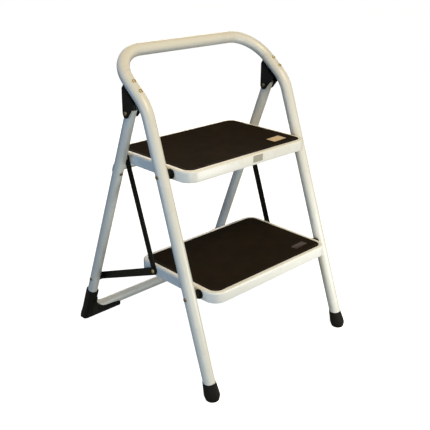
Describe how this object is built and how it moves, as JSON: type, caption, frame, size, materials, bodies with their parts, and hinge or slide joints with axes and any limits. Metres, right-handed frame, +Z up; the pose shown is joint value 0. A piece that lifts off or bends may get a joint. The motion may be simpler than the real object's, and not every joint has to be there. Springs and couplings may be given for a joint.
{
  "type": "folding step stool",
  "caption": "Folding two-tread step stool: bent tube front hoop with hand grip, hinged rear frame, matted treads, riser and stay links, rubber feet and corner shoes.",
  "frame": {"origin": "centre of the footprint at floor level, stool open", "axes": "+X to the stool's right seen by someone facing it to step up, +Y from the front feet to the rear shoes, +Z up"},
  "size_m": [0.471, 0.503, 0.6988],
  "materials": {
    "frame_powder_coat": "semi-gloss powder coat",
    "tread_powder_coat": "semi-gloss powder coat",
    "mat_rubber": "fine ribbed matt",
    "foot_rubber": "matt",
    "black_plastic": "satin moulded",
    "black_steel": "satin black",
    "zinc_rivet": "yellow zinc plated"
  },
  "bodies": {
    "front_frame": {"front_hoop": "frame_powder_coat", "front_foot_left": "foot_rubber", "front_foot_right": "foot_rubber", "hinge_bracket_left": "black_steel", "hinge_bracket_right": "black_steel", "bracket_rivets": "zinc_rivet", "hinge_rivets": "zinc_rivet", "upper_pivot_rivets": "zinc_rivet", "lower_pivot_rivets": "zinc_rivet", "upper_spacers": "black_plastic", "lower_spacers": "black_plastic"},
    "rear_leg_frame": {"rear_frame": "frame_powder_coat", "stop_bar": "frame_powder_coat", "stop_bar_rivets": "zinc_rivet", "rear_shoe_left": "black_plastic", "rear_shoe_right": "black_plastic", "stay_pivot_rivets": "zinc_rivet", "stay_bushes": "black_plastic"},
    "upper_step": {"upper_tread": "tread_powder_coat", "upper_mat": "mat_rubber", "upper_stiffener": "tread_powder_coat", "riser_top_rivets": "zinc_rivet"},
    "lower_step": {"lower_tread": "tread_powder_coat", "lower_mat": "mat_rubber", "lower_stiffener": "tread_powder_coat", "riser_foot_rivets": "zinc_rivet"},
    "left_riser": {"riser_link_left": "black_steel"},
    "right_riser": {"riser_link_right": "black_steel"},
    "left_stay": {"stay_link_left": "black_steel", "stay_tail_left": "zinc_rivet"},
    "right_stay": {"stay_link_right": "black_steel", "stay_tail_right": "zinc_rivet"}
  },
  "joints": [
    {"name": "upper_step_fold", "type": "hinge", "parent": "front_frame", "child": "upper_step", "pos_m": [0, -0.07929, 0.4585], "axis": [1, 0, 0], "range_deg": [0, 58]},
    {"name": "lower_step_fold", "type": "hinge", "parent": "front_frame", "child": "lower_step", "pos_m": [0, -0.16412, 0.2135], "axis": [1, 0, 0], "range_deg": [0, 58]},
    {"name": "rear_frame_fold", "type": "hinge", "parent": "front_frame", "child": "rear_leg_frame", "pos_m": [0, 0.02056, 0.57108], "axis": [1, 0, 0], "range_deg": [-38.8, 0]},
    {"name": "left_riser_swing", "type": "hinge", "parent": "upper_step", "child": "left_riser", "pos_m": [-0.18971, 0.06821, 0.4585], "axis": [1, 0, 0], "range_deg": [-58, 0]},
    {"name": "left_stay_swing", "type": "hinge", "parent": "left_riser", "child": "left_stay", "pos_m": [-0.19256, -0.01662, 0.2135], "axis": [1, 0, 0], "range_deg": [-77.71, 0]},
    {"name": "right_riser_swing", "type": "hinge", "parent": "upper_step", "child": "right_riser", "pos_m": [0.18971, 0.06821, 0.4585], "axis": [1, 0, 0], "range_deg": [-58, 0]},
    {"name": "right_stay_swing", "type": "hinge", "parent": "right_riser", "child": "right_stay", "pos_m": [0.19256, -0.01662, 0.2135], "axis": [1, 0, 0], "range_deg": [-77.71, 0]}
  ],
  "couplings": [
    {"joint": "lower_step_fold", "follows": "upper_step_fold", "ratio": 1},
    {"joint": "rear_frame_fold", "follows": "upper_step_fold", "ratio": -0.66885},
    {"joint": "left_riser_swing", "follows": "upper_step_fold", "ratio": -1},
    {"joint": "left_stay_swing", "follows": "upper_step_fold", "ratio": -1.3396},
    {"joint": "right_riser_swing", "follows": "upper_step_fold", "ratio": -1},
    {"joint": "right_stay_swing", "follows": "upper_step_fold", "ratio": -1.3396}
  ]
}
